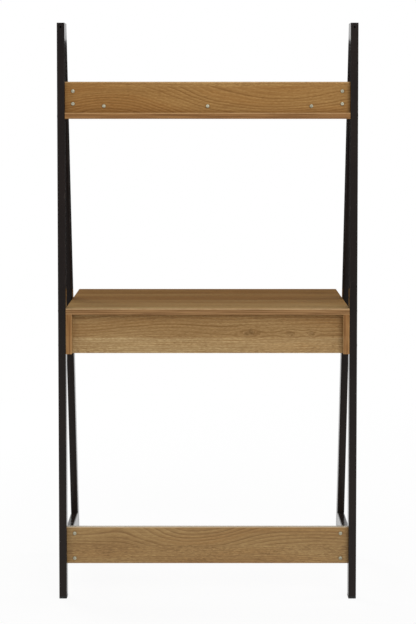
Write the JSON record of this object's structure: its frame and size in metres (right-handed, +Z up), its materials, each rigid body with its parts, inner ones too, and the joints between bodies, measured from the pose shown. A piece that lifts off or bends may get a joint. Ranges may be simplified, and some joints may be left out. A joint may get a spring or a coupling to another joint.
{
  "type": "ladder desk",
  "caption": "Ladder desk: leaning steel side frames carry an oak-veneer desk with a drawer, a shelf with an upstand and a rear stretcher; fixes to a wall.",
  "frame": {"origin": "on the floor, under the middle of the desk's box", "axes": "+Z up, -Y towards the sitter, +Y towards the wall, +X to the sitter's right"},
  "size_m": [0.7784, 0.5, 1.5],
  "materials": {
    "frame_black": "semi-gloss black powder coat",
    "bolt_black": "black finish on steel",
    "foot_plastic": "moulded black plastic",
    "oak_board": "oak veneer, satin lacquer",
    "drawer_board": "foil-faced board, light oak",
    "drawer_hardboard": "thin hardboard, smooth side up",
    "slide_steel": "bright zinc plate",
    "bearing_steel": "polished",
    "zinc_steel": "zinc plate",
    "cam_metal": "cast zinc"
  },
  "bodies": {
    "base": {"board_inserts": "zinc_steel", "brace_bolts": "zinc_steel", "brace_nuts": "zinc_steel", "brace_screws": "zinc_steel", "centre_shelf_brace": "zinc_steel", "desk_back": "oak_board", "desk_cam_stems": "zinc_steel", "desk_cams": "cam_metal", "desk_top": "oak_board", "frame_bolts": "bolt_black", "left_desk_side": "oak_board", "left_front_foot": "foot_plastic", "left_front_leg": "frame_black", "left_lower_tie": "frame_black", "left_rear_foot": "foot_plastic", "left_rear_leg": "frame_black", "left_shelf_brace": "zinc_steel", "left_slide_cabinet_member": "slide_steel", "left_stretcher_tab": "frame_black", "left_top_plate": "frame_black", "left_upstand_tab": "frame_black", "rear_stretcher": "oak_board", "right_desk_side": "oak_board", "right_front_foot": "foot_plastic", "right_front_leg": "frame_black", "right_lower_tie": "frame_black", "right_rear_foot": "foot_plastic", "right_rear_leg": "frame_black", "right_shelf_brace": "zinc_steel", "right_slide_cabinet_member": "slide_steel", "right_stretcher_tab": "frame_black", "right_top_plate": "frame_black", "right_upstand_tab": "frame_black", "shelf_board": "oak_board", "shelf_upstand": "oak_board", "slide_cabinet_screws": "zinc_steel", "stretcher_bolts": "zinc_steel", "stretcher_weld_nuts": "zinc_steel", "upstand_bolts": "zinc_steel", "upstand_weld_nuts": "zinc_steel"},
    "drawer": {"drawer_front": "oak_board", "left_drawer_side": "drawer_board", "right_drawer_side": "drawer_board", "drawer_back": "drawer_board", "drawer_bottom": "drawer_hardboard", "drawer_cams": "cam_metal", "drawer_cam_stems": "zinc_steel", "drawer_back_screws": "zinc_steel", "left_slide_drawer_member": "slide_steel", "right_slide_drawer_member": "slide_steel", "slide_drawer_screws": "zinc_steel"},
    "left_ball_cage": {"left_slide_ball_cage": "slide_steel", "left_slide_balls": "bearing_steel"},
    "right_ball_cage": {"right_slide_ball_cage": "slide_steel", "right_slide_balls": "bearing_steel"}
  },
  "joints": [
    {"name": "drawer_slide", "type": "slide", "parent": "base", "child": "drawer", "axis": [0, -1, 0], "range_m": [0, 0.25]},
    {"name": "left_cage_slide", "type": "slide", "parent": "base", "child": "left_ball_cage", "axis": [0, -1, 0], "range_m": [0, 0.125]},
    {"name": "right_cage_slide", "type": "slide", "parent": "base", "child": "right_ball_cage", "axis": [0, -1, 0], "range_m": [0, 0.125]}
  ],
  "couplings": [
    {"joint": "left_cage_slide", "follows": "drawer_slide", "ratio": 0.5},
    {"joint": "right_cage_slide", "follows": "drawer_slide", "ratio": 0.5}
  ]
}
